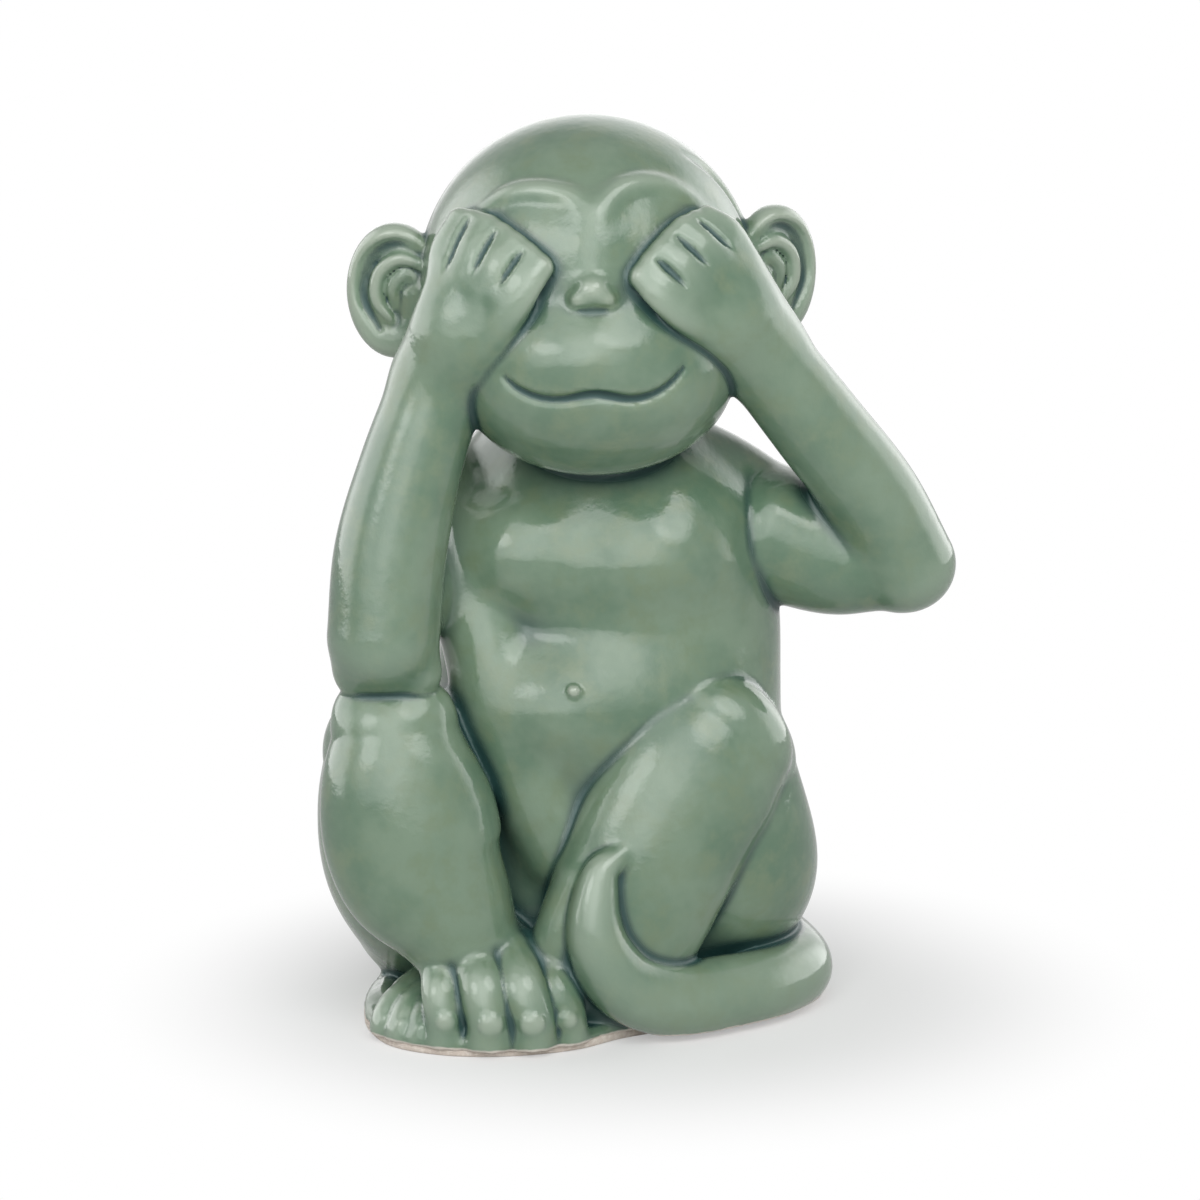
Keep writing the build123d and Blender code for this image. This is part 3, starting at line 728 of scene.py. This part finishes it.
skin_field = np.full(GRID_SHAPE, REACH, np.float32)
skin_field[skin.place] = skin.values
fine_curve = blurred(skin_field, FINE_WIDTH) - skin_field
broad_curve = blurred(skin_field, BROAD_WIDTH) - skin_field
heights = GRID_LOW[2] + STEP * np.arange(GRID_SHAPE[2])
skin_field = np.maximum(skin_field, (RING_HEIGHT - heights).astype(np.float32)[None, None, :])

# Castings as pieces: each is the part of the skin's form that lies nearest to it. Past its border
# it dives under its neighbour and ends there, so two castings never share a face.
DIVE_SLOPE = 0.35
DIVE_REACH = 1.6
NORMAL_REACH = 0.6
MARGIN = 3
FINE_SCALE = 0.45
BROAD_SCALE = 1.6
MM = 0.001

closest = np.full(GRID_SHAPE, REACH, np.float32)
runner_up = np.full(GRID_SHAPE, REACH, np.float32)
for form in castings.values():
    near = closest[form.place]
    runner_up[form.place] = np.minimum(runner_up[form.place], np.maximum(near, form.values))
    closest[form.place] = np.minimum(near, form.values)


def closed_piece(name, form):
    """A casting's closed mesh, with the skin's own normals and the bends of its surface.

    Half the difference between its own distance and the nearest other casting's says how far a
    point lies past the border. The surface sinks by that times a slope, and ends at DIVE_REACH.
    """
    start = np.maximum(form.start - MARGIN, 0)
    stop = np.minimum(form.stop + MARGIN, GRID_SHAPE)
    place = slices_in(start, stop, (0, 0, 0))
    own = np.full(stop - start, REACH, np.float32)
    own[slices_in(form.start, form.stop, start)] = form.values
    rival = np.where(own <= closest[place], runner_up[place], closest[place])
    past = (own - rival) / 2
    values = np.maximum(skin_field[place] + DIVE_SLOPE * np.maximum(past, 0), past - DIVE_REACH)
    grid = openvdb.FloatGrid(REACH)
    grid.copyFromArray(np.ascontiguousarray(np.pad(values, 1, constant_values=REACH)))
    vertices, _, quads = grid.convertToPolygons(isovalue=0.0, adaptivity=0.0)
    places = np.asarray(vertices, float) - 1
    points = GRID_LOW + (start + places) * STEP
    quads = np.asarray(quads, int)
    skin_normals = sampled(np.stack(np.gradient(skin_field[place]), -1), places)
    cut_normals = sampled(np.stack(np.gradient(values), -1), places)
    sunk = np.clip(sampled(past, places) / NORMAL_REACH, 0, 1)[:, None]
    sunk = sunk * sunk * (3 - 2 * sunk)
    normals = skin_normals * (1 - sunk) + cut_normals * sunk
    normals /= np.linalg.norm(normals, axis=1)[:, None] + LEAST
    corners = [points[quads[:, corner]] for corner in range(3)]
    facing = np.cross(corners[1] - corners[0], corners[2] - corners[0]) * normals[quads[:, 0]]
    if facing.sum() < 0:
        quads = quads[:, ::-1]
    mesh = bpy.data.meshes.new(name)
    mesh.vertices.add(len(points))
    mesh.vertices.foreach_set("co", (points * MM).astype(np.float32).ravel())
    mesh.loops.add(quads.size)
    mesh.loops.foreach_set("vertex_index", quads.astype(np.int32).ravel())
    mesh.polygons.add(len(quads))
    mesh.polygons.foreach_set("loop_start", np.arange(0, quads.size, 4, dtype=np.int32))
    mesh.update(calc_edges=True)
    mesh.validate()
    bends = (("fine_bend", fine_curve, FINE_SCALE), ("broad_bend", broad_curve, BROAD_SCALE))
    for label, curve, scale in bends:
        layer = mesh.attributes.new(label, "FLOAT", "POINT")
        layer.data.foreach_set("value", (sampled(curve[place], places) / scale).astype(np.float32))
    mesh.normals_split_custom_set_from_vertices(normals.astype(np.float32))
    piece = bpy.data.objects.new(name, mesh)
    bpy.context.scene.collection.objects.link(piece)
    return piece


pieces = {}
for name, form in castings.items():
    pieces[name] = closed_piece(name + "_skin", form)
    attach(pieces[name], "root")
    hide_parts(name)

# Foot ring: the rim of the same clay that the glaze is wiped off, so that the figurine doesn't
# stick to the shelf in the kiln. Its upper edge tucks a little into the glazed sole.
RING_SECTION = (
    # inset from the sole's edge, height
    (0.5, 0.02), (0.1, 0.2), (0, 0.6), (0, RING_HEIGHT), (0.3, 1.75),
    (6.6, 1.75), (7.0, RING_HEIGHT), (7.0, 0.6), (6.9, 0.2), (6.5, 0.02),
)


def ring_mesh(name, rows):
    """A closed mesh swept round through rows of points, each row joined to the next."""
    count = rows[0].shape[0]
    points = np.concatenate(rows) * MM
    step = np.arange(count)
    onward = (step + 1) % count
    faces = []
    for row in range(len(rows)):
        base = row * count
        following = (row + 1) % len(rows) * count
        faces.append(np.stack([base + step, base + onward, following + onward, following + step], 1))
    mesh = bpy.data.meshes.new(name)
    mesh.from_pydata(points.tolist(), [], np.concatenate(faces).tolist())
    mesh.update()
    mesh.shade_smooth()
    piece = bpy.data.objects.new(name, mesh)
    bpy.context.scene.collection.objects.link(piece)
    return piece


def at_height(line, height):
    """A line in the ground plane, raised to a height."""
    return np.column_stack([line, np.full(len(line), height)])


ring_rows = [at_height(ground_outline(inset - SOLE_REACH), height) for inset, height in RING_SECTION]
foot_ring = ring_mesh("foot_ring_rim", ring_rows)
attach(foot_ring, "root")
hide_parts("foot_ring")

# Base plate: a slab of bare clay luted in to close the underside inside the ring. Its round vent
# hole lets the air out of the hollow body in the firing.
VENT = np.array([-7.0, 4.0])
VENT_RADIUS = 4.0
PLATE_INSET = 6.2
PLATE_LOW = 1.8
PLATE_HIGH = 3.0
PLATE_EDGE = 0.5
PLATE_SECTION = (
    # share of the way from the rim to the vent, height
    (0, PLATE_LOW), (0, PLATE_HIGH), (0.5, PLATE_HIGH), (0.97, PLATE_HIGH),
    (1, PLATE_HIGH - PLATE_EDGE), (1, PLATE_LOW + PLATE_EDGE), (0.97, PLATE_LOW), (0.5, PLATE_LOW),
)
rim = ground_outline(PLATE_INSET)
spoke = rim - VENT
angle = np.arctan2(spoke[:, 1], spoke[:, 0])
hole = VENT + VENT_RADIUS * np.column_stack([np.cos(angle), np.sin(angle)])
plate_rows = [at_height(rim * (1 - share) + hole * share, height) for share, height in PLATE_SECTION]
base_plate = ring_mesh("base_plate_clay", plate_rows)
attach(base_plate, "root")
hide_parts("base_plate")

# Glaze: a glossy sage green with faint olive clouds, poured on and wiped off at the foot ring. It runs off
# the ridges, where it is paler and lets the clay through, and pools a little duller in every crease. The near
# black blue green in the creases is partly that pooled glaze and partly painted shade, and the darker green
# in broad hollows, such as under the chin, is painted shade.
DARK_SAGE = (0.105, 0.182, 0.118)
PALE_SAGE = (0.172, 0.250, 0.172)
OLIVE = (0.155, 0.220, 0.135)
THIN_GLAZE = (0.250, 0.330, 0.250)
RIDGE_GLAZE = (0.340, 0.400, 0.320)
# painted shade: the darker green laid into broad hollows, such as under the chin
PAINTED_HOLLOW_SHADE = (0.070, 0.125, 0.100)
# partly pooled glaze, partly painted shade: the near black blue green laid into fine creases
CREASE_POOL_AND_SHADE = (0.014, 0.046, 0.042)
CLAY_COLOUR = (0.68, 0.62, 0.56)
GLAZE_ROUGHNESS = 0.11
POOL_ROUGHNESS = 0.5
CLAY_ROUGHNESS = 0.85
BARE_HEIGHT = 0.0014
GLAZED_HEIGHT = 0.0019
EDGE_WAVE = -0.0010
GLAZE_IOR = 1.60
# scale, detail and roughness of each noise
CLOUDS = (38, 4, 0.6)
STREAKS = (140, 3, 0.6)
WAVES = (210, 2, 0.5)
RIPPLES = (480, 3, 0.55)
RIPPLE_DEPTH = 0.0006
RIPPLE_STRENGTH = 0.12


def add_node(tree, kind, **values):
    """A node with its plain settings, its inputs set by the values whose names they have."""
    node = tree.nodes.new(kind)
    for label, value in values.items():
        if hasattr(node, label):
            setattr(node, label, value)
        else:
            node.inputs[label.replace("_", " ")].default_value = value
    return node


def calculated(tree, operation, *values):
    """The result of a Math node, each of its values a socket or a plain number."""
    node = add_node(tree, "ShaderNodeMath", operation=operation)
    for plug, value in zip(node.inputs, values):
        if isinstance(value, bpy.types.NodeSocket):
            tree.links.new(value, plug)
        else:
            plug.default_value = value
    return node.outputs[0]


def mixed_colour(tree, share, first_colour, second_colour):
    """The first colour times one less the share, and the second times the share.

    Each is a socket or a plain colour.
    """
    node = add_node(tree, "ShaderNodeMix", data_type="RGBA")
    tree.links.new(share, node.inputs["Factor"])
    for label, value in (("A", first_colour), ("B", second_colour)):
        plug = next(each for each in node.inputs if each.name == label and each.type == "RGBA")
        if isinstance(value, tuple):
            plug.default_value = value + (1,)
        else:
            tree.links.new(value, plug)
    return next(each for each in node.outputs if each.type == "RGBA")


def stepped(tree, value, low, high, least=0.0):
    """A smooth step from the least to 1 between two values."""
    node = add_node(
        tree, "ShaderNodeMapRange", interpolation_type="SMOOTHSTEP", From_Min=low, From_Max=high, To_Min=least
    )
    tree.links.new(value, node.inputs["Value"])
    return node.outputs["Result"]


def ranged(tree, value, low, high):
    """A value from 0 to 1, moved in proportion onto the range from low to high."""
    node = add_node(tree, "ShaderNodeMapRange", To_Min=low, To_Max=high)
    tree.links.new(value, node.inputs["Value"])
    return node.outputs["Result"]


def noise(tree, place, scale, detail, roughness):
    """A cloud value from 0 to 1 at a place on Object coordinates."""
    node = add_node(tree, "ShaderNodeTexNoise", Scale=scale, Detail=detail, Roughness=roughness)
    tree.links.new(place, node.inputs["Vector"])
    return node.outputs["Fac"]


glaze_group = bpy.data.node_groups.new("glaze_flow", "ShaderNodeTree")
for label, kind in (("Colour", "Color"), ("Bare", "Float"), ("Pool", "Float"), ("Normal", "Vector")):
    glaze_group.interface.new_socket(label, in_out="OUTPUT", socket_type="NodeSocket" + kind)
glaze_out = glaze_group.nodes.new("NodeGroupOutput")
place = glaze_group.nodes.new("ShaderNodeTexCoord").outputs["Object"]
fine_bend = add_node(glaze_group, "ShaderNodeAttribute", attribute_name="fine_bend").outputs["Fac"]
broad_bend = add_node(glaze_group, "ShaderNodeAttribute", attribute_name="broad_bend").outputs["Fac"]
clouds = noise(glaze_group, place, *CLOUDS)
streaks = noise(glaze_group, place, *STREAKS)
colour = DARK_SAGE
for mask, low, high, tint in (
    (clouds, 0.38, 0.64, PALE_SAGE), (streaks, 0.42, 0.75, OLIVE),
    (broad_bend, 0.05, 0.9, THIN_GLAZE), (fine_bend, 0.25, 1.4, RIDGE_GLAZE),
    # these two mixes paint shade into broad hollows, and pooled glaze with painted shade into fine creases
    (broad_bend, -0.10, -1.0, PAINTED_HOLLOW_SHADE), (fine_bend, -0.12, -0.85, CREASE_POOL_AND_SHADE),
):
    colour = mixed_colour(glaze_group, stepped(glaze_group, mask, low, high), colour, tint)
split = glaze_group.nodes.new("ShaderNodeSeparateXYZ")
glaze_group.links.new(place, split.inputs["Vector"])
wavy_height = calculated(
    glaze_group, "MULTIPLY_ADD", noise(glaze_group, place, *WAVES), EDGE_WAVE, split.outputs["Z"]
)
bump = add_node(glaze_group, "ShaderNodeBump", Strength=RIPPLE_STRENGTH, Distance=RIPPLE_DEPTH)
glaze_group.links.new(noise(glaze_group, place, *RIPPLES), bump.inputs["Height"])
for label, value in (
    ("Colour", colour),
    ("Bare", stepped(glaze_group, wavy_height, GLAZED_HEIGHT, BARE_HEIGHT)),
    ("Pool", stepped(glaze_group, fine_bend, -0.2, -0.9)),
    ("Normal", bump.outputs["Normal"]),
):
    glaze_group.links.new(value, glaze_out.inputs[label])

glaze = bpy.data.materials.new("sage_glaze")
glaze.use_nodes = True
tree = glaze.node_tree
shader = tree.nodes["Principled BSDF"]
flow = tree.nodes.new("ShaderNodeGroup")
flow.node_tree = glaze_group
glaze_colour = mixed_colour(tree, flow.outputs["Bare"], flow.outputs["Colour"], CLAY_COLOUR)
bare_roughness = ranged(tree, flow.outputs["Bare"], GLAZE_ROUGHNESS, CLAY_ROUGHNESS)
pool_roughness = ranged(tree, flow.outputs["Pool"], 0.0, POOL_ROUGHNESS)
tree.links.new(glaze_colour, shader.inputs["Base Color"])
tree.links.new(calculated(tree, "MAXIMUM", bare_roughness, pool_roughness), shader.inputs["Roughness"])
tree.links.new(flow.outputs["Normal"], shader.inputs["Normal"])
shader.inputs["IOR"].default_value = GLAZE_IOR
for piece in pieces.values():
    piece.data.materials.append(glaze)

# Bare clay: dull pinkish stoneware with fine grog, as it comes out of the kiln where no glaze
# covers it, on the foot ring and the base plate
GROG_COLOUR = (0.58, 0.51, 0.45)
GROG = (900, 3, 0.6)
clay = bpy.data.materials.new("bare_clay")
clay.use_nodes = True
tree = clay.node_tree
shader = tree.nodes["Principled BSDF"]
place = tree.nodes.new("ShaderNodeTexCoord").outputs["Object"]
speckle = stepped(tree, noise(tree, place, *GROG), 0.4, 0.7)
tree.links.new(mixed_colour(tree, speckle, GROG_COLOUR, CLAY_COLOUR), shader.inputs["Base Color"])
shader.inputs["Roughness"].default_value = CLAY_ROUGHNESS
for piece in (foot_ring, base_plate):
    piece.data.materials.append(clay)

# Studio floor: a sheet of white paper that keeps the figurine's shadow near its foot. For the
# camera it fades into the white of the backdrop further out.
scene = bpy.context.scene
FLOOR_HALF = 4
BACKDROP = 0.78
MIRRORED_WHITE = 0.68
SHADOW_RADIUS = 0.045
FADED_RADIUS = 0.115
LEAST_FADE = 0.35
floor_mesh = bpy.data.meshes.new("studio_floor")
floor_corners = [(-1, -1), (1, -1), (1, 1), (-1, 1)]
floor_mesh.from_pydata([(x * FLOOR_HALF, y * FLOOR_HALF, 0) for x, y in floor_corners], [], [(0, 1, 2, 3)])
floor = bpy.data.objects.new("studio_floor", floor_mesh)
scene.collection.objects.link(floor)
paper = bpy.data.materials.new("white_paper")
paper.use_nodes = True
tree = paper.node_tree
paper_shader = tree.nodes["Principled BSDF"]
paper_shader.inputs["Base Color"].default_value = (BACKDROP, BACKDROP, BACKDROP, 1)
paper_shader.inputs["Roughness"].default_value = 0.9
spread = add_node(tree, "ShaderNodeVectorMath", operation="LENGTH")
tree.links.new(tree.nodes.new("ShaderNodeTexCoord").outputs["Object"], spread.inputs[0])
whiteness = stepped(tree, spread.outputs["Value"], SHADOW_RADIUS, FADED_RADIUS, LEAST_FADE)
rays = tree.nodes.new("ShaderNodeLightPath")
seen = calculated(tree, "ADD", rays.outputs["Is Camera Ray"], rays.outputs["Is Glossy Ray"])
paper_light = tree.nodes.new("ShaderNodeEmission")
light_level = ranged(tree, rays.outputs["Is Camera Ray"], MIRRORED_WHITE, 1.0)
tree.links.new(light_level, paper_light.inputs["Strength"])
paper_mix = tree.nodes.new("ShaderNodeMixShader")
tree.links.new(calculated(tree, "MULTIPLY", whiteness, seen), paper_mix.inputs["Fac"])
tree.links.new(paper_shader.outputs["BSDF"], paper_mix.inputs[1])
tree.links.new(paper_light.outputs["Emission"], paper_mix.inputs[2])
tree.links.new(paper_mix.outputs["Shader"], tree.nodes["Material Output"].inputs["Surface"])
floor_mesh.materials.append(paper)

# Studio tent: the camera sees plain white round the figurine, matt surfaces get an even dim
# light, and the glossy glaze mirrors bright panels in the directions listed here
TENT_LIGHT = 0.19
PANELS = (
    # azimuth from the front, height, inner and outer angle, all in degrees, and strength
    (-30, 34, 26, 46, 1.5), (-48, 30, 6, 16, 2.6), (34, 50, 10, 24, 3.0), (0, 26, 14, 40, 0.8),
    (-112, 12, 18, 42, 2.6), (112, 8, 16, 40, 2.0), (-150, 8, 14, 44, 0.3), (155, 10, 16, 46, 1.0),
)
world = bpy.data.worlds.new("studio")
scene.world = world
world.use_nodes = True
tree = world.node_tree
even_light = tree.nodes["Background"]
even_light.inputs["Color"].default_value = (1, 1, 1, 1)
even_light.inputs["Strength"].default_value = TENT_LIGHT
seen_light = tree.nodes.new("ShaderNodeBackground")
seen_light.inputs["Color"].default_value = (1, 1, 1, 1)
rays = tree.nodes.new("ShaderNodeLightPath")
direction = tree.nodes.new("ShaderNodeTexCoord").outputs["Generated"]
mirrored = MIRRORED_WHITE
for azimuth, height, inner, outer, strength in PANELS:
    azimuth = math.radians(azimuth)
    height = math.radians(height)
    facing = add_node(tree, "ShaderNodeVectorMath", operation="DOT_PRODUCT")
    tree.links.new(direction, facing.inputs[0])
    facing.inputs[1].default_value = (
        math.sin(azimuth) * math.cos(height), -math.cos(azimuth) * math.cos(height), math.sin(height)
    )
    edges = [math.cos(math.radians(angle)) for angle in (outer, inner)]
    panel = stepped(tree, facing.outputs["Value"], *edges)
    mirrored = calculated(tree, "MULTIPLY_ADD", panel, strength, mirrored)
brightness = add_node(tree, "ShaderNodeMix", data_type="FLOAT")
tree.links.new(rays.outputs["Is Camera Ray"], brightness.inputs[0])
tree.links.new(mirrored, brightness.inputs[2])
brightness.inputs[3].default_value = 1.0
tree.links.new(brightness.outputs[0], seen_light.inputs["Strength"])
seen = calculated(tree, "ADD", rays.outputs["Is Glossy Ray"], rays.outputs["Is Camera Ray"])
tent_mix = tree.nodes.new("ShaderNodeMixShader")
tree.links.new(seen, tent_mix.inputs["Fac"])
tree.links.new(even_light.outputs["Background"], tent_mix.inputs[1])
tree.links.new(seen_light.outputs["Background"], tent_mix.inputs[2])
tree.links.new(tent_mix.outputs["Shader"], tree.nodes["World Output"].inputs["Surface"])

# Soft windows: three sheets of lit cloth round the figurine, which light its matt side but don't
# show in the glaze. The widest is in front and above, one at each side a little behind.
MIDDLE = (0, 0, 0.095)


def soft_window(name, place, width, height, watts):
    """A rectangular soft light that looks from a place at the figurine's middle."""
    lamp = bpy.data.lights.new(name, "AREA")
    lamp.shape = "RECTANGLE"
    lamp.size = width
    lamp.size_y = height
    lamp.energy = watts
    lamp_object = bpy.data.objects.new(name, lamp)
    lamp_object.location = place
    lamp_object.rotation_euler = (Vector(MIDDLE) - Vector(place)).to_track_quat("-Z", "Y").to_euler()
    lamp_object.visible_glossy = False
    scene.collection.objects.link(lamp_object)


soft_window("front_tent", (-0.02, -1.05, 0.80), 1.10, 0.90, 15.2)
soft_window("left_tent", (-1.05, 0.35, 0.40), 0.80, 0.90, 3.0)
soft_window("right_tent", (1.05, 0.45, 0.40), 0.80, 0.90, 3.5)

# Camera: a long lens slightly above the figurine and a little to the viewer's left of it, as in
# the photo
CAMERA_AIM = Vector((-0.0063, 0, 0.086))
camera_data = bpy.data.cameras.new("photo_camera")
camera_data.sensor_width = 36
camera_data.lens = 157.7
camera = bpy.data.objects.new("photo_camera", camera_data)
camera.location = (-0.10008, -1.07187, 0.31470)
camera.rotation_euler = (CAMERA_AIM - camera.location).to_track_quat("-Z", "Y").to_euler()
scene.collection.objects.link(camera)
scene.camera = camera
scene.view_settings.view_transform = "Standard"
